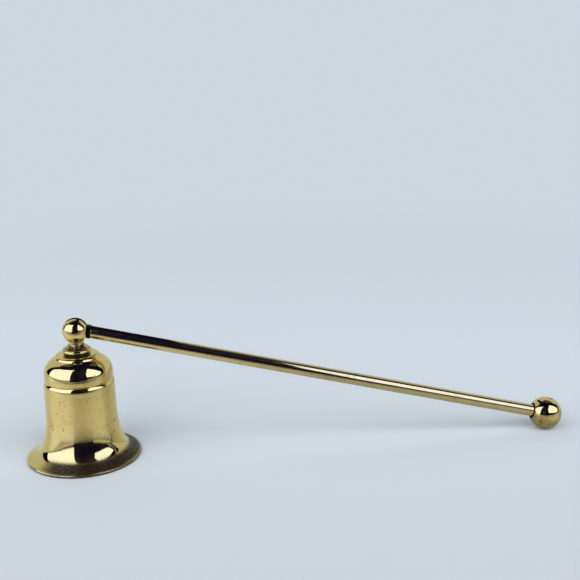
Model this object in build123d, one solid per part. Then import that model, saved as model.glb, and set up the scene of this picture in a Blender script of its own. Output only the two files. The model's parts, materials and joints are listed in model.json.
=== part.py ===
from build123d import *
import os
from math import asin, cos, degrees, radians, sin, sqrt, tan

os.makedirs("parts", exist_ok=True)

# A turned brass bell snuffer with a hinged handle. Lengths are millimetres, angles are degrees, +Z is up.
# The bell stands on its rim, and the knob at the far end of the handle rests on the same surface.
# The origin is on that surface, under the middle of the whole object, and the handle points to +X.

# Bell, outside
rim_radius = 21.4
lip_thickness = 1.3
brim_width = 2.45             # sloping part of the brim, along the radius
brim_slope = 26.7
barrel_radius = 13.1          # at the top of the barrel
barrel_taper = 0.1            # how much wider the barrel is where the skirt starts to flare
skirt_height = 18.6           # where the skirt starts to flare
barrel_height = 29.2          # where the barrel rounds over into the groove
barrel_rounding = 2.5
barrel_turn = 57.0
dome_radius = 12.8
dome_edge_rounding = 0.25
dome_wall_height = 1.5        # upright band of the dome, above the groove
dome_rounding = 6.9
dome_turn = 69.0              # from upright to the foot of the collar
collar_rounding = 1.5
collar_lean = 10.0            # how far the collar's side leans in at its foot
flare_drop_share = 0.55       # how far the skirt's curve keeps upright, as a share of its height
flare_out_share = 0.44        # how far out the middle of that curve is drawn, as a share of its width
flare_down_share = 0.6        # how far down the middle is drawn, as a share of its height
flare_reach_share = 0.83      # how far the curve keeps in line with the brim, as a share of its width

# Bell, inside
rest_ring_width = 0.7         # flat ring that the bell stands on
barrel_wall = 1.35
bore_drop = 3.0               # how far the straight bore runs below the start of the flare
chamber_step = 3.0            # height of the cone between the bore and the domed chamber
dome_wall = 2.0
crown_thickness = 2.4
washer_seat_margin = 0.4

# Finial: foot, neck and slotted ball
foot_seat_radius = 4.2
foot_gap = 0.7                # shadow gap under the foot ring
foot_ring_radius = 5.35
foot_ring_thickness = 1.4
neck_radius = 2.75
neck_height = 3.95            # bottom of the neck above the seat
foot_sweep_share = 0.15       # hollow of the foot's cone, as a share of its height
knuckle_height = 8.7          # centre of the ball above the seat
knuckle_radius = 4.8

# Hinge
pin_rise = 0.6                # how far the pin sits above the centre of the ball
pin_radius = 0.8
eye_radius = 2.4
eye_thickness = 1.8
eye_side_clearance = 0.1      # on each side of the eye, in the slot
eye_end_clearance = 0.15      # round the eye and at the stops
running_clearance = 0.05      # radial, between pin and eye
lowest_angle = -20.0          # handle at the lower stop, against the horizontal
highest_angle = 100.0         # handle at the upper stop

# Handle
handle_reach = 186.0          # pin to the centre of the knob
shoulder_distance = 5.8       # pin to the square end of the rod
rod_radius = 2.38125
rod_end_chamfer = 0.15
knob_radius = 6.35
socket_floor = 3.35           # end of the rod to the centre of the knob
counterbore_radius = 2.9
counterbore_depth = 0.8       # below the edge of the counterbore

# Fasteners
thread_radius = 1.5
thread_clearance = 0.02       # radial, between a thread and its tapped hole
passing_clearance = 0.2       # radial, where the screw passes the crown and the washer
tip_gap = 0.5                 # tapped hole beyond the end of a thread
eye_shank_length = 6.0
stud_length_in_rod = 6.0
stud_length_in_knob = 4.0
screw_length_in_finial = 3.5
screw_head_radius = 2.75
screw_head_height = 1.8
screw_head_rounding = 0.5
driver_slot_width = 0.8
driver_slot_depth = 0.9
washer_radius = 3.5
washer_thickness = 0.5

# Worked out from the sizes above
lip_round = lip_thickness / 2
groove_height = barrel_height + barrel_rounding * sin(radians(barrel_turn))
groove_radius = barrel_radius - barrel_rounding * (1 - cos(radians(barrel_turn)))
shoulder_height = groove_height + dome_edge_rounding + dome_wall_height
bore_radius = barrel_radius - barrel_wall
collar_radius = dome_radius - dome_rounding * (1 - cos(radians(dome_turn)))
collar_height = shoulder_height + dome_rounding * sin(radians(dome_turn))
seat_radius = collar_radius - collar_rounding * cos(radians(collar_lean))
seat_height = collar_height + collar_rounding * (1 - sin(radians(collar_lean)))
crown_underside = seat_height - crown_thickness
pin_height = knuckle_height + pin_rise
pivot_height = seat_height + pin_height
rest_slope = degrees(asin((pivot_height - knob_radius) / handle_reach))
handle_span = handle_reach * cos(radians(rest_slope))
overall_length = rim_radius + handle_span + knob_radius
bell_x = rim_radius - overall_length / 2
rod_end = handle_reach - socket_floor


def turned(outline):
    """Solid turned about +Z from a closed outline of radius and height."""
    return revolve(Plane.XZ * make_face(outline), Axis.Z)


def rod_along_x(radius, start, end):
    """Round bar on the X axis from start to end."""
    return Plane.YZ.offset(start) * extrude(Circle(radius), end - start)


def flare(top, bottom):
    """Curve of the skirt, upright at the top and in line with the brim at the bottom."""
    height = top[1] - bottom[1]
    width = bottom[0] - top[0]
    reach = flare_reach_share * width
    upper = (top[0], top[1] - flare_drop_share * height)
    middle = (top[0] + flare_out_share * width, top[1] - flare_down_share * height)
    lower = (bottom[0] - reach, bottom[1] + reach * tan(radians(brim_slope)))
    return Bezier(top, upper, middle, lower, bottom)


def make_bell():
    """Brim, skirt, barrel, groove, dome and collar in one piece, open below and holed for the screw."""
    rise = brim_width * tan(radians(brim_slope))
    slope = radians(brim_slope)

    # outside, from the rest ring up to the seat of the finial
    rest_outer = (rim_radius - lip_round, 0)
    lip = JernArc(rest_outer, (1, 0), lip_round, 180 - brim_slope)
    lip_top = (rim_radius - lip_round + lip_round * sin(slope), lip_round + lip_round * cos(slope))
    brim_top = (lip_top[0] - brim_width, lip_top[1] + rise)
    skirt_top = (barrel_radius + barrel_taper, skirt_height)
    barrel_top = (barrel_radius, barrel_height)
    groove = (groove_radius, groove_height)
    dome_edge = (dome_radius - dome_edge_rounding, groove_height)
    dome_bottom = (dome_radius, groove_height + dome_edge_rounding)
    shoulder = (dome_radius, shoulder_height)
    collar_foot = (collar_radius, collar_height)
    collar_side = (-sin(radians(collar_lean)), cos(radians(collar_lean)))
    seat_edge = (seat_radius, seat_height)
    outside = lip + Line(lip_top, brim_top) + flare(skirt_top, brim_top) + Line(skirt_top, barrel_top)
    outside += JernArc(barrel_top, (0, 1), barrel_rounding, barrel_turn)
    outside += Line(groove, dome_edge) + JernArc(dome_edge, (1, 0), dome_edge_rounding, 90)
    outside += Line(dome_bottom, shoulder) + JernArc(shoulder, (0, 1), dome_rounding, dome_turn)
    outside += JernArc(collar_foot, collar_side, collar_rounding, 90 - collar_lean)

    # inside, from the seat of the washer down to the rest ring
    hole_radius = thread_radius + passing_clearance
    washer_seat = (washer_radius + washer_seat_margin, crown_underside)
    chamber_rounding = dome_rounding - dome_wall
    chamber_top = (
        dome_radius - dome_rounding + chamber_rounding * cos(radians(dome_turn)),
        shoulder_height + chamber_rounding * sin(radians(dome_turn)),
    )
    chamber_shoulder = (dome_radius - dome_wall, shoulder_height)
    chamber_bottom = (dome_radius - dome_wall, barrel_height)
    bore_top = (bore_radius, barrel_height - chamber_step)
    bore_bottom = (bore_radius, skirt_height - bore_drop)
    rest_inner = (rest_outer[0] - rest_ring_width, 0)
    brim_inner = (rest_inner[0] - brim_width, rise)
    inside = Polyline(seat_edge, (hole_radius, seat_height), (hole_radius, crown_underside), washer_seat)
    inside += Line(washer_seat, chamber_top)
    inside += JernArc(chamber_shoulder, (0, 1), chamber_rounding, dome_turn)
    inside += Polyline(chamber_shoulder, chamber_bottom, bore_top, bore_bottom)
    inside += flare(bore_bottom, brim_inner) + Polyline(brim_inner, rest_inner, rest_outer)
    return Pos(bell_x, 0, 0) * turned(outside + inside)


def slot_area():
    """Area in X and Z that the eye sweeps from stop to stop, about the pin at the origin."""
    half = eye_radius + eye_end_clearance
    reach = 2 * knuckle_radius
    middle = (lowest_angle + highest_angle) / 2

    def at(angle):
        return (reach * cos(radians(angle)), reach * sin(radians(angle)))

    arc = ThreePointArc(at(lowest_angle), at(middle), at(highest_angle))
    area = Circle(half) + make_face(arc + Polyline(at(highest_angle), (0, 0), at(lowest_angle)))
    for angle in (lowest_angle, highest_angle):
        area += Rot(0, 0, angle) * Pos(reach / 2, 0) * Rectangle(reach, 2 * half)
    return area


def make_finial_knuckle():
    """Foot, neck and ball, slotted for the eye, drilled for the pin and tapped for the screw."""
    ring_round = foot_ring_thickness / 2
    ring_bottom = (foot_ring_radius - ring_round, foot_gap)
    ring_top = (ring_bottom[0], foot_gap + foot_ring_thickness)
    neck_bottom = (neck_radius, neck_height)
    neck_top = (neck_radius, knuckle_height - sqrt(knuckle_radius ** 2 - neck_radius ** 2))
    ball_side = (knuckle_radius, knuckle_height)
    ball_top = (0, knuckle_height + knuckle_radius)
    sweep = (neck_radius, neck_height - foot_sweep_share * (neck_height - ring_top[1]))
    outline = Polyline(ball_top, (0, 0), (foot_seat_radius, 0), (foot_seat_radius, foot_gap), ring_bottom)
    outline += JernArc(ring_bottom, (1, 0), ring_round, 180)
    outline += Bezier(ring_top, sweep, neck_bottom) + Line(neck_bottom, neck_top)
    outline += ThreePointArc(neck_top, ball_side, ball_top)
    knuckle = turned(outline)

    slot_width = eye_thickness + 2 * eye_side_clearance
    slot = extrude(Plane.XZ * slot_area(), slot_width / 2, both=True)
    knuckle -= Pos(0, 0, pin_height) * slot
    pin_hole = extrude(Plane.XZ * Circle(pin_radius), knuckle_radius, both=True)
    knuckle -= Pos(0, 0, pin_height) * pin_hole
    knuckle -= extrude(Circle(thread_radius + thread_clearance), screw_length_in_finial + tip_gap)
    return Pos(bell_x, 0, seat_height) * knuckle


def make_crown_screw():
    """Slotted round-head screw, up through the washer and the crown into the finial."""
    head_top = crown_underside - washer_thickness
    head = Pos(0, 0, head_top - screw_head_height) * extrude(Circle(screw_head_radius), screw_head_height)
    head = fillet(head.edges().sort_by(Axis.Z)[0], screw_head_rounding)
    driver_slot = Box(2 * screw_head_radius, driver_slot_width, 2 * driver_slot_depth)
    head -= Pos(0, 0, head_top - screw_head_height) * driver_slot
    shank_length = seat_height + screw_length_in_finial - head_top
    shank = Pos(0, 0, head_top) * extrude(Circle(thread_radius), shank_length)
    return Pos(bell_x, 0, 0) * (head + shank)


def make_crown_washer():
    """Plain washer between the screw head and the crown."""
    ring = Circle(washer_radius) - Circle(thread_radius + passing_clearance)
    return Pos(bell_x, 0, crown_underside - washer_thickness) * extrude(ring, washer_thickness)


def make_hinge_pin():
    """Cross pin through both cheeks, its ends dressed to the curve of the ball."""
    pin = extrude(Plane.XZ * Circle(pin_radius), knuckle_radius, both=True)
    ball = Pos(0, 0, -pin_rise) * Sphere(knuckle_radius)
    return Pos(bell_x, 0, pivot_height) * (pin & ball)


def on_handle(piece):
    """Place a piece that was drawn along +X from the pin, at the handle's rest angle."""
    return Pos(bell_x, 0, pivot_height) * Rot(0, rest_slope, 0) * piece


def make_hinge_eye():
    """Flat eye on the pin, with a round shank that screws into the end of the rod."""
    bar = Pos(shoulder_distance / 2, 0) * Rectangle(shoulder_distance, 2 * eye_radius)
    area = Circle(eye_radius) + bar - Circle(pin_radius + running_clearance)
    eye = extrude(Plane.XZ * area, eye_thickness / 2, both=True)
    return on_handle(eye + rod_along_x(thread_radius, shoulder_distance, shoulder_distance + eye_shank_length))


def make_handle_rod():
    """Round rod with a tapped hole in each square end."""
    rod = rod_along_x(rod_radius, shoulder_distance, rod_end)
    rod = chamfer(rod.edges().filter_by(GeomType.CIRCLE), rod_end_chamfer)
    hole_radius = thread_radius + thread_clearance
    near_depth = eye_shank_length + tip_gap
    far_depth = stud_length_in_rod + tip_gap
    rod -= rod_along_x(hole_radius, shoulder_distance, shoulder_distance + near_depth)
    rod -= rod_along_x(hole_radius, rod_end - far_depth, rod_end)
    return on_handle(rod)


def make_knob_stud():
    """Headless stud that joins the rod and the knob."""
    return on_handle(rod_along_x(thread_radius, rod_end - stud_length_in_rod, rod_end + stud_length_in_knob))


def make_end_knob():
    """Ball with a counterbored socket for the rod and a tapped hole for the stud."""
    near_side = handle_reach - knob_radius
    counterbore_edge = handle_reach - sqrt(knob_radius ** 2 - counterbore_radius ** 2)
    knob = Pos(handle_reach, 0, 0) * Sphere(knob_radius)
    knob -= rod_along_x(counterbore_radius, near_side, counterbore_edge + counterbore_depth)
    knob -= rod_along_x(rod_radius + thread_clearance, near_side, rod_end)
    knob -= rod_along_x(thread_radius + thread_clearance, near_side, rod_end + stud_length_in_knob + tip_gap)
    return on_handle(knob)


pieces = {
    "bell": make_bell(),
    "finial_knuckle": make_finial_knuckle(),
    "crown_screw": make_crown_screw(),
    "crown_washer": make_crown_washer(),
    "hinge_pin": make_hinge_pin(),
    "hinge_eye": make_hinge_eye(),
    "handle_rod": make_handle_rod(),
    "knob_stud": make_knob_stud(),
    "end_knob": make_end_knob(),
}

for name, piece in pieces.items():
    export_step(piece, f"parts/{name}.step")

print(f"bell axis at x {bell_x:.3f}, seat height {seat_height:.3f}, pivot height {pivot_height:.3f}")
print(f"rest slope {rest_slope:.3f}, bore from {skirt_height - bore_drop:.3f} to {barrel_height - chamber_step:.3f}")
print(f"overall length {overall_length:.3f}, crown underside {crown_underside:.3f}")
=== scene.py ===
import json
import math

import bpy
from mathutils import Matrix, Vector


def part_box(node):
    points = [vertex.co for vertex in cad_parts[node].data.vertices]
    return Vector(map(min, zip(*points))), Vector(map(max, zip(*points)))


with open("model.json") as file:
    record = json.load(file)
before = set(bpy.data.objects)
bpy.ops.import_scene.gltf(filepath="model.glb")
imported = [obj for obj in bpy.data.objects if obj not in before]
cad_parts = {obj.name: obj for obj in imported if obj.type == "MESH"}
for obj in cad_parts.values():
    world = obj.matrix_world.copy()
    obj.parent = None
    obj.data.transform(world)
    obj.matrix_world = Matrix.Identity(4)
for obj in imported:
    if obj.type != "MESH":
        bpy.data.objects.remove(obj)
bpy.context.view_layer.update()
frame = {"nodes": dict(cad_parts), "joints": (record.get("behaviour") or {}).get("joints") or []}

# Places in the part's frame, in metres
bell_low, bell_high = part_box("bell")
axis_x = (bell_low[0] + bell_high[0]) / 2
joint = frame["joints"][0]
pivot = Vector(joint["pos_m"])
knob_low, knob_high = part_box("end_knob")
knob_centre = (Vector(knob_low) + Vector(knob_high)) / 2
rod_slope = math.atan2(pivot.z - knob_centre.z, knob_centre.x - pivot.x)
crown_z = bell_high[2]

# Radius and centre of the ball, to within 0.04 mm, from the pin that crosses it a little above its centre
pin_rise = 0.0006
pin_low, pin_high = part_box("hinge_pin")
ball_radius = math.hypot((pin_high[1] - pin_low[1]) / 2, pin_rise)
ball_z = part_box("finial_knuckle")[1][2] - ball_radius


class Nodes:
    """Short way to build one material's node tree. A plain number stands wherever a socket can."""

    def __init__(self, name):
        self.material = bpy.data.materials.new(name)
        self.material.use_nodes = True
        self.tree = self.material.node_tree
        self.tree.nodes.clear()

    def add(self, kind, inputs=None, **settings):
        node = self.tree.nodes.new(kind)
        for key, value in settings.items():
            setattr(node, key, value)
        for key, value in (inputs or {}).items():
            self.plug(value, node.inputs[key])
        return node

    def plug(self, value, socket):
        """Links a socket to the input, or writes a plain value into it."""
        if isinstance(value, bpy.types.NodeSocket):
            self.tree.links.new(value, socket)
        elif value is not None:
            socket.default_value = value

    def math(self, operation, a, b=None, clamp=False):
        node = self.add("ShaderNodeMath", operation=operation, use_clamp=clamp)
        for i, value in enumerate((a, b)):
            self.plug(value, node.inputs[i])
        return node.outputs[0]

    def times(self, a, b):
        return self.math("MULTIPLY", a, b)

    def plus(self, a, b):
        return self.math("ADD", a, b)

    def most(self, *values):
        total = values[0]
        for value in values[1:]:
            total = self.math("MAXIMUM", total, value)
        return total

    def vector(self, operation, a, b=None):
        node = self.add("ShaderNodeVectorMath", operation=operation)
        for i, value in enumerate((a, b)):
            self.plug(value, node.inputs[i])
        gives_number = operation in ("LENGTH", "DOT_PRODUCT", "DISTANCE")
        return node.outputs["Value" if gives_number else "Vector"]

    def off_axis(self, a, b):
        """Distance from an axis, from the two coordinates across it."""
        return self.vector("LENGTH", self.add("ShaderNodeCombineXYZ", {"X": a, "Y": b}).outputs[0])

    def ramp(self, value, low, high, to_low=0.0, to_high=1.0, smooth=True):
        """Goes from to_low at low to to_high at high, and stays there beyond them."""
        node = self.add("ShaderNodeMapRange", {"Value": value, "From Min": low, "From Max": high,
                                               "To Min": to_low, "To Max": to_high})
        node.interpolation_type = "SMOOTHSTEP" if smooth else "LINEAR"
        return node.outputs[0]

    def noise(self, where, scale, detail=3.0, rough=0.55, distortion=0.0):
        node = self.add("ShaderNodeTexNoise", {"Vector": where, "Scale": scale, "Detail": detail,
                                               "Roughness": rough, "Distortion": distortion})
        return node.outputs["Fac"]

    def mix(self, factor, a, b):
        node = self.add("ShaderNodeMix", data_type="RGBA")
        self.plug(factor, node.inputs[0])
        self.plug(a, node.inputs[6])
        self.plug(b, node.inputs[7])
        return node.outputs[2]

    def blend(self, factor, a, b):
        return self.add("ShaderNodeMixShader", {0: factor, 1: a, 2: b}).outputs[0]

    def done(self, shader):
        out = self.add("ShaderNodeOutputMaterial")
        self.tree.links.new(shader, out.inputs["Surface"])
        return self.material


clean_brass = (0.76, 0.56, 0.185, 1)
rod_brass = (0.69, 0.52, 0.22, 1)
dark_brass = (0.18, 0.125, 0.05, 1)
black_brass = (0.045, 0.036, 0.022, 1)
# Painted shade for the eye, which sits in the slot of the ball
eye_shade_colour = (0.05, 0.04, 0.02, 1)
eye_deep_shade = (0.012, 0.01, 0.008, 1)
bell_axis = (axis_x, 0, 0)
satin_roughness = 0.29
darkened_roughness = 0.55


def brass(name, origin, slope, lines, rough, rough_stained, stain, clean=clean_brass, stained=dark_brass,
          marks=(), zone=None, satin=None, pits=0.0, shade_and_black=None):
    """Polished brass with soft tarnish, fine tool lines round or along the axis, stains, pits, and black
    that is mostly painted shade.

    Origin and slope, in radians, place the axis of the piece. Rough is the roughness where it is clean.
    Zone, satin and the last function say how dull, how satin and how black each point is; that black is
    mostly painted shade.
    Each mark is a stain, with its place, its radius and its strength.
    """
    n = Nodes(name)
    local = n.vector("SUBTRACT", n.add("ShaderNodeTexCoord").outputs["Object"], origin)
    if slope:
        turn = n.add("ShaderNodeVectorRotate", {"Vector": local, "Axis": (0, 1, 0), "Angle": -slope})
        local = turn.outputs[0]
    x, y, z = n.add("ShaderNodeSeparateXYZ", {"Vector": local}).outputs

    # Broad cloudiness and small blotches of tarnish
    broad = n.ramp(n.noise(local, 210, 4, 0.6, 0.6), 0.48, 0.78)
    small = n.ramp(n.noise(local, 900, 5, 0.65, 0.3), 0.55, 0.85)
    tarnish = n.math("MULTIPLY", n.plus(n.times(broad, 0.7), n.times(small, 0.5)), stain, clamp=True)

    # Single stains at their places on the piece, with ragged edges
    ragged = n.math("SUBTRACT", n.noise(local, 1500, 4, 0.7), 0.5)
    for centre, radius, strength in marks:
        away = n.plus(n.vector("DISTANCE", local, centre), n.times(ragged, radius * 1.6))
        spot = n.times(n.ramp(away, radius * 0.6, radius * 1.3, 1.0, 0.0), strength)
        tarnish = n.most(tarnish, spot)
    if zone:
        tarnish = n.most(tarnish, zone(n, local, x, y, z))

    # Tool lines: rings round the axis, or fine draw lines along it
    if lines == "rings":
        radius = n.off_axis(x, y)
        difference = n.math("SUBTRACT", z, radius)
        across = {"X": n.times(n.plus(z, radius), 9000.0), "Y": n.times(difference, 2200.0)}
    else:
        across = {"X": n.times(x, 40.0), "Y": n.times(y, 9000.0), "Z": n.times(z, 9000.0)}
    line = n.noise(n.add("ShaderNodeCombineXYZ", across).outputs[0], 1.0, 2, 0.6)
    wave = n.noise(local, 130, 2, 0.5)
    height = n.plus(n.times(line, 0.010), n.times(wave, 0.20))

    # Pits, few and far between, in the part that the polish has left alone
    worn = satin(n, z) if satin else None
    if pits:
        cells = n.add("ShaderNodeTexVoronoi", {"Vector": local, "Scale": 760.0, "Randomness": 1.0})
        keep = n.times(n.ramp(n.noise(local, 330, 2), 0.52, 0.57), worn)
        pit = n.times(n.ramp(cells.outputs["Distance"], 0.14, 0.28, 1.0, 0.0), keep)
        tarnish = n.most(tarnish, n.times(pit, pits))
        height = n.plus(height, n.times(pit, -0.5))

    colour = n.mix(tarnish, clean, stained)
    roughness = n.ramp(tarnish, 0.0, 1.0, rough, rough_stained, smooth=False)
    if satin:
        scratched = n.times(n.ramp(line, 0.30, 0.70, 0.94, 1.0), worn)
        roughness = n.most(roughness, n.times(scratched, satin_roughness))
    # Black, mostly painted shade in gaps, recesses and under the lip, mixed into colour and roughness
    if shade_and_black:
        darkened = shade_and_black(n, local, x, y, z)
        colour = n.mix(darkened, colour, black_brass)
        roughness = n.most(roughness, n.times(darkened, darkened_roughness))
    bump = n.add("ShaderNodeBump", {"Height": height, "Strength": 0.12, "Distance": 0.0002})

    looks = {"Base Color": colour, "Roughness": roughness, "Metallic": 1.0, "Normal": bump.outputs[0]}
    shader = n.add("ShaderNodeBsdfPrincipled", looks)
    if satin:
        # The marks of the lathe run round the axis and stretch each highlight up and down
        shader.inputs["Anisotropic"].default_value = 0.75
        shader.inputs["Anisotropic Rotation"].default_value = 0.25
        round_axis = n.add("ShaderNodeTangent", direction_type="RADIAL", axis="Z").outputs[0]
        n.plug(round_axis, shader.inputs["Tangent"])
    return n.done(shader.outputs[0])


def give(node, material):
    for slot in frame["nodes"][node].material_slots:
        slot.material = material


# Measured in metres from the foot of the bell's axis, and for the knob from its own centre
def to_the_right(n, x, y, radius):
    """1 on the side of the bell that faces the front right, and -1 on the far side."""
    return n.math("DIVIDE", n.math("SUBTRACT", n.times(x, 0.75), n.times(y, 0.66)), radius)


def bell_zones(n, local, x, y, z):
    """Dull brim at the front and right, unpolished inside."""
    radius = n.off_axis(x, y)
    outer = n.ramp(radius, 0.0158, 0.0178)
    mottle = n.ramp(n.noise(local, 1500, 6, 0.8, 0.4), 0.36, 0.62, 0.55, 1.0)
    brim = n.times(n.times(outer, mottle), n.ramp(to_the_right(n, x, y, radius), -0.15, 0.38, 0.04, 1.0))
    normal = n.add("ShaderNodeTexCoord").outputs["Normal"]
    outwards = n.vector("NORMALIZE", n.add("ShaderNodeCombineXYZ", {"X": x, "Y": y}).outputs[0])
    inward_face = n.ramp(n.vector("DOT_PRODUCT", normal, outwards), -0.25, -0.05, 0.7, 0.0)
    inside = n.times(inward_face, n.ramp(radius, 0.0195, 0.0205, 1.0, 0.0))
    return n.most(brim, inside)


def bell_shade_and_black_brim(n, local, x, y, z):
    """Painted shade: black on the underside of the lip and under the foot of the finial. Also black, a
    little uneven, on the outer brim at the front and right.
    """
    radius = n.off_axis(x, y)
    uneven = n.times(n.math("SUBTRACT", n.noise(local, 500, 3), 0.5), 0.0003)
    # Painted contact shade on the lowest band of the lip
    lip = n.times(n.ramp(n.plus(z, uneven), 0.00055, 0.00090, 1.0, 0.0), n.ramp(radius, 0.0196, 0.0203))
    # Painted shade in the gap under the foot of the finial
    under_foot = n.times(n.ramp(radius, 0.0046, 0.0052, 1.0, 0.0), n.ramp(z, 0.0385, 0.0392))
    brim_mottle = n.ramp(n.noise(local, 1100, 5, 0.75, 0.2), 0.40, 0.54, 0.70, 1.0)
    brim = n.times(n.ramp(radius, 0.0160, 0.0176), n.ramp(to_the_right(n, x, y, radius), -0.25, 0.25))
    brim = n.times(n.times(brim, brim_mottle), n.ramp(z, 0.0012, 0.0016))
    return n.most(lip, under_foot, brim)


def bell_satin(n, z):
    """Turning marks left on the barrel and the skirt, gone from the crown and the brim."""
    return n.times(n.ramp(z, 0.0095, 0.0130), n.ramp(z, 0.0270, 0.0282, 1.0, 0.0))


def foot_zones(n, local, x, y, z):
    """Haze in the hollow of the neck, where a cloth hardly reaches."""
    over_foot = n.ramp(z, crown_z + 0.0016, crown_z + 0.0024)
    hollow = n.times(over_foot, n.ramp(z, crown_z + 0.0040, crown_z + 0.0050, 1.0, 0.0))
    return n.times(hollow, n.ramp(n.noise(local, 500, 4, 0.6, 0.6), 0.35, 0.6, 0.25, 0.7))


def foot_painted_shade(n, local, x, y, z):
    """Painted shade: black in the gap under the ring of the foot, and inside the slot."""
    gap = n.ramp(z, crown_z + 0.00055, crown_z + 0.00085, 1.0, 0.0)
    from_ball = n.vector("DISTANCE", local, (0, 0, ball_z))
    in_ball = n.ramp(from_ball, ball_radius - 0.00015, ball_radius - 0.00003, 1.0, 0.0)
    slot = n.times(in_ball, n.ramp(n.math("ABSOLUTE", y), 0.00103, 0.00112, 1.0, 0.0))
    slot = n.times(slot, n.ramp(z, ball_z - 0.0027, ball_z - 0.0024))
    return n.most(gap, slot)


def eye_shade_zones(n, local, x, y, z):
    """Painted shade: the eye darkened all over, a little less in places."""
    return n.ramp(n.noise(local, 300, 3), 0.2, 0.6, 0.75, 1.0)


def knob_zones(n, local, x, y, z):
    """Lower side of the knob, darker and duller: partly tarnish where it rubs on the table, partly painted
    shade.
    """
    under = n.ramp(z, -0.0015, 0.0005, 0.62, 0.0)
    return n.times(under, n.ramp(n.noise(local, 1300, 6, 0.85, 0.5), 0.42, 0.58, 0.30, 1.0))


def knob_painted_shade(n, local, x, y, z):
    """Painted shade: black in the recess round the end of the rod."""
    near_rod = n.ramp(n.off_axis(y, z), 0.0030, 0.0032, 1.0, 0.0)
    return n.times(near_rod, n.ramp(x, -0.0045, -0.0040, 1.0, 0.0))


# Stains, each with its place, its radius and its strength
bell_marks = [
    ((-0.00597, -0.01169, 0.02592), 0.00035, 0.8), ((-0.00767, -0.01063, 0.02658), 0.00025, 0.6),
    ((-0.00607, -0.01165, 0.02475), 0.00022, 0.7), ((0.00942, -0.00913, 0.02638), 0.00040, 0.35),
    ((0.01248, -0.0047, 0.01529), 0.00045, 0.9), ((-0.00988, -0.00888, 0.01599), 0.0007, 0.45),
    ((-0.00954, -0.00938, 0.01479), 0.0006, 0.5), ((-0.01226, -0.00467, 0.0253), 0.0003, 0.6),
    ((0.01018, -0.00991, 0.01003), 0.00055, 0.9), ((0.00938, -0.01035, 0.01107), 0.0003, 0.8),
    ((0.01100, -0.00930, 0.00930), 0.0004, 0.85), ((0.00960, -0.01080, 0.00900), 0.0003, 0.8),
    ((0.01230, -0.0085, 0.00880), 0.00035, 0.8),
    ((0.01154, -0.00787, 0.01106), 0.0003, 0.7), ((0.0122, -0.00662, 0.01149), 0.0004, 0.8),
    ((0.01095, -0.00995, 0.00779), 0.0009, 0.9), ((0.01176, -0.00951, 0.00674), 0.0007, 0.9),
    ((0.01659, -0.00228, 0.00382), 0.0006, 0.5), ((0.00708, -0.0104, 0.03476), 0.0006, 0.5),
    ((0.00704, -0.01063, 0.03388), 0.0004, 0.5), ((0.00725, -0.01154, 0.01291), 0.0003, 0.5),
    ((-0.0078, -0.01578, 0.00307), 0.0007, 0.5), ((-0.00651, -0.01772, 0.00232), 0.0006, 0.6),
    ((-0.00244, -0.01891, 0.00222), 0.0009, 0.6),
]
knob_marks = [
    ((-0.00507, -0.00362, -0.00118), 0.0009, 0.6), ((-0.00312, -0.00497, -0.00241), 0.0011, 0.75),
    ((0.00037, -0.00023, 0.00633), 0.0011, 0.8),
]
give("bell", brass("bell_brass", bell_axis, 0, "rings", rough=0.055, rough_stained=0.33, stain=0.30,
                   marks=bell_marks, zone=bell_zones, satin=bell_satin, pits=0.8, shade_and_black=bell_shade_and_black_brim))
give("finial_knuckle", brass("finial_brass", bell_axis, 0, "rings", rough=0.05, rough_stained=0.30,
                             stain=0.22, zone=foot_zones, shade_and_black=foot_painted_shade))
give("hinge_pin", brass("pin_brass", bell_axis, 0, "rings", rough=0.10, rough_stained=0.30, stain=0.3))
# The eye is painted dark, as shade inside the slot of the ball
give("hinge_eye", brass("eye_brass", pivot, rod_slope, "along", rough=0.3, rough_stained=0.5, stain=1.0,
                        clean=eye_shade_colour, stained=eye_deep_shade, zone=eye_shade_zones))
give("handle_rod", brass("rod_brass", pivot, rod_slope, "along", rough=0.06, rough_stained=0.30, stain=0.40,
                         clean=rod_brass))
give("end_knob", brass("knob_brass", knob_centre, rod_slope, "rings", rough=0.05, rough_stained=0.30,
                       stain=0.25, marks=knob_marks, zone=knob_zones, shade_and_black=knob_painted_shade))
for hidden in ("crown_screw", "crown_washer", "knob_stud"):
    give(hidden, brass(hidden + "_brass", bell_axis, 0, "rings", rough=0.22, rough_stained=0.4, stain=0.5))

paper = (0.62, 0.685, 0.74, 1)
shade_far_in_front = (0.05, 0.05, 0.09, 1)
floor_behind = (0.535, 0.60, 0.655, 1)
# Colour of the floor in front, darkened as painted shade
shaded_floor_in_front = (0.492, 0.535, 0.575, 1)
sky = (0.61, 0.68, 0.74, 1)
room_light = (1.2, 1.2, 1.2, 1)
window_light = (2.5, 2.5, 2.5, 1)
window_in_brass = (1.35, 1.68, 3.1, 1)
hole_radius = 0.0203
hole_edge = 0.0001


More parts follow.
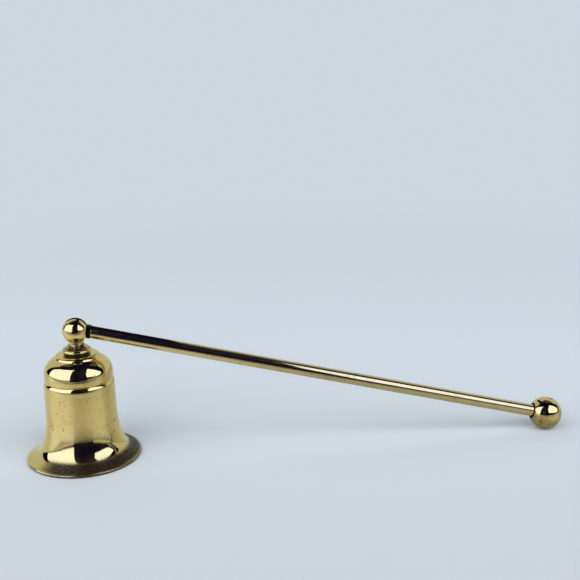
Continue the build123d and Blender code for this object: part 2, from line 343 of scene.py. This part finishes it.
def floor_looks():
    """Pale floor with a hole under the bell, which lets light inside. From below it isn't there."""
    n = Nodes("floor_paper")
    place = n.add("ShaderNodeTexCoord").outputs["Object"]
    width, depth, _ = n.add("ShaderNodeSeparateXYZ", {"Vector": place}).outputs
    light = n.add("ShaderNodeLightPath").outputs
    seen = light["Is Camera Ray"]
    mirrored = light["Is Glossy Ray"]

    # Painted shade that only the brass mirrors: the paper is darker in front and on the right, and nearly
    # black far in front
    near = n.plus(n.ramp(depth, -0.09, -0.035, 0.28, 0.0), n.ramp(width, -0.07, 0.02, 0.0, 0.40))
    shade = n.times(n.most(near, n.ramp(depth, -0.120, -0.100, 0.94, 0.0)), mirrored)
    tone = n.mix(shade, paper, shade_far_in_front)
    indirect = n.add("ShaderNodeBsdfPrincipled", {"Base Color": tone, "Roughness": 0.42, "IOR": 1.6})

    # The camera sees a plain floor, a little darker in front as painted shade, that turns into the
    # background far away
    plain_tone = n.mix(n.ramp(depth, -0.12, 0.05, 1.0, 0.0), floor_behind, shaded_floor_in_front)
    plain = n.add("ShaderNodeBsdfDiffuse", {"Color": plain_tone, "Roughness": 0.3})
    haze = n.add("ShaderNodeEmission", {"Color": sky, "Strength": 1.0})
    far = n.times(n.ramp(n.vector("LENGTH", place), 0.15, 0.60), seen)
    whole = n.blend(far, n.blend(seen, indirect.outputs[0], plain.outputs[0]), haze.outputs[0])

    from_axis = n.vector("DISTANCE", place, bell_axis)
    under_bell = n.ramp(from_axis, hole_radius - hole_edge, hole_radius + hole_edge, 1.0, 0.0)
    from_below = n.add("ShaderNodeNewGeometry").outputs["Backfacing"]
    gone = n.most(from_below, under_bell)
    return n.done(n.blend(gone, whole, n.add("ShaderNodeBsdfTransparent").outputs[0]))


def glow(name, colour):
    n = Nodes(name)
    return n.done(n.add("ShaderNodeEmission", {"Color": colour, "Strength": 1.0}).outputs[0])


def daylight_looks():
    """White light on everything, but blue where brass mirrors it."""
    n = Nodes("daylight")
    mirrored = n.add("ShaderNodeLightPath").outputs["Is Glossy Ray"]
    tone = n.mix(mirrored, window_light, window_in_brass)
    return n.done(n.add("ShaderNodeEmission", {"Color": tone, "Strength": 1.0}).outputs[0])


def put(name, corners, faces, material):
    mesh = bpy.data.meshes.new(name)
    mesh.from_pydata(corners, [], faces)
    mesh.materials.append(material)
    thing = bpy.data.objects.new(name, mesh)
    bpy.context.scene.collection.objects.link(thing)
    return thing


def between(keys, azimuth):
    """Lower and upper elevation at an azimuth, on straight lines between the keys."""
    for (start, low, high), (stop, next_low, next_high) in zip(keys, keys[1:]):
        if start <= azimuth <= stop:
            share = (azimuth - start) / (stop - start)
            return low + (next_low - low) * share, high + (next_high - high) * share
    return keys[-1][1:]


middle_height = 0.03
step_degrees = 2.5
rows = 14


def curtain(name, radius, keys, material):
    """Curved screen round the bell. Each key is an azimuth with the lower and upper elevation there.

    Angles are in degrees, seen from the middle of the bell. Azimuth 0 is in front and 90 on the right.
    """
    first, last = keys[0][0], keys[-1][0]
    steps = max(2, round((last - first) / step_degrees))
    corners, faces = [], []
    for i in range(steps + 1):
        azimuth = first + (last - first) * i / steps
        low, high = between(keys, azimuth)
        turn = math.radians(azimuth)
        for j in range(rows + 1):
            lift = math.radians(low + (high - low) * j / rows)
            reach = radius * math.cos(lift)
            height = middle_height + radius * math.sin(lift)
            corners.append((axis_x + reach * math.sin(turn), -reach * math.cos(turn), height))
            if i and j:
                corner = i * (rows + 1) + j
                faces.append((corner, corner - 1, corner - rows - 2, corner - rows - 1))
    return put(name, corners, faces, material)


put("floor", [(-4, -4, 0), (4, -4, 0), (4, 4, 0), (-4, 4, 0)], [(0, 1, 2, 3)], floor_looks())
daylight = daylight_looks()
dim = glow("dim_room", (0.10, 0.11, 0.12, 1))
black = glow("black_card", (0.004, 0.003, 0.035, 1))

# Windows and dark parts of the room, hidden from the camera but mirrored in the brass
screens = [
    curtain("left_window", 1.5, [
        (-104, 3, 30), (-98, 2.8, 39), (-90, 2.8, 47), (-80, 2.8, 53), (-60, 2.8, 60), (-40, 3.2, 64),
        (-20, 3.8, 66), (-6, 5.2, 67),
    ], daylight),
    curtain("right_window", 1.5, [
        (6, 18.5, 66), (28, 16.5, 66), (36, 14.5, 65), (58, 9, 61), (66, 7, 54), (74, 6, 44), (80, 7, 34),
        (86, 10.5, 22), (89, 12.5, 16),
    ], daylight),
    curtain("dark_room", 1.9, [
        (-124, 2, 6), (-117, 1.5, 30), (-112, 1.5, 48), (-106, 1.5, 66), (-100, 1.5, 80), (-94, 1.5, 89),
        (90, 1.5, 89), (98, 3, 76), (101, 8, 60), (105, 12, 30), (108, 14, 18),
    ], black),
    curtain("dark_top", 1.95, [(-180, 74, 89.5), (180, 74, 89.5)], black),
    curtain("dim_right", 2.1, [
        (96, 35, 89), (104, 40, 89), (120, 48, 89), (150, 52, 89), (180, 60, 89),
    ], dim),
    curtain("dim_left", 2.1, [(-180, 58, 89), (-150, 62, 89), (-120, 52, 89), (-100, 50, 89)], dim),
]

# Two dark cards, which the brass mirrors and which cast no shadow on the floor
cards = [
    put("front_card", [
        (-0.149, -0.173, 0.012), (0.131, -0.318, 0.012), (0.131, -0.318, 0.27), (0.43, -0.318, 1.1),
        (-0.02, -0.318, 1.1), (-0.149, -0.173, 0.36),
    ], [(0, 1, 2, 3, 4, 5)], black),
    put("top_flag", [(-0.062, 0.01, 0.3), (0.03, 0.01, 0.3), (0.03, 0.62, 0.3), (-0.062, 0.62, 0.3)],
        [(0, 1, 2, 3)], black),
]
for thing in screens + cards:
    thing.visible_camera = False
for thing in cards:
    thing.visible_diffuse = False
    thing.visible_shadow = False

# Around everything, white light that the camera and the brass see as pale blue
world = bpy.data.worlds.new("studio")
world.use_nodes = True
link = world.node_tree.links.new
background = world.node_tree.nodes["Background"]
path = world.node_tree.nodes.new("ShaderNodeLightPath")
shown = world.node_tree.nodes.new("ShaderNodeMath")
shown.operation = "MAXIMUM"
link(path.outputs["Is Camera Ray"], shown.inputs[0])
link(path.outputs["Is Glossy Ray"], shown.inputs[1])
choose = world.node_tree.nodes.new("ShaderNodeMix")
choose.data_type = "RGBA"
link(shown.outputs[0], choose.inputs[0])
choose.inputs[6].default_value = room_light
choose.inputs[7].default_value = sky
link(choose.outputs[2], background.inputs["Color"])
background.inputs["Strength"].default_value = 1.0
bpy.context.scene.world = world

# Camera, fitted to the rim, the finial and the knob in the photo
camera_data = bpy.data.cameras.new("camera")
camera_data.sensor_width = 36.0
camera_data.lens = 58.345
camera_data.clip_start = 0.01
camera_data.clip_end = 50.0
camera = bpy.data.objects.new("camera", camera_data)
bpy.context.scene.collection.objects.link(camera)
heading, pitch, roll = math.radians(5.185), math.radians(14.84), math.radians(-1.17)
camera_place = Matrix.Translation((-0.03359, -0.33788, 0.15124))
aim = Matrix.Rotation(-heading, 4, "Z") @ Matrix.Rotation(math.radians(90) - pitch, 4, "X")
camera.matrix_world = camera_place @ aim @ Matrix.Rotation(roll, 4, "Z")
bpy.context.scene.camera = camera
bpy.context.scene.view_settings.view_transform = "Standard"
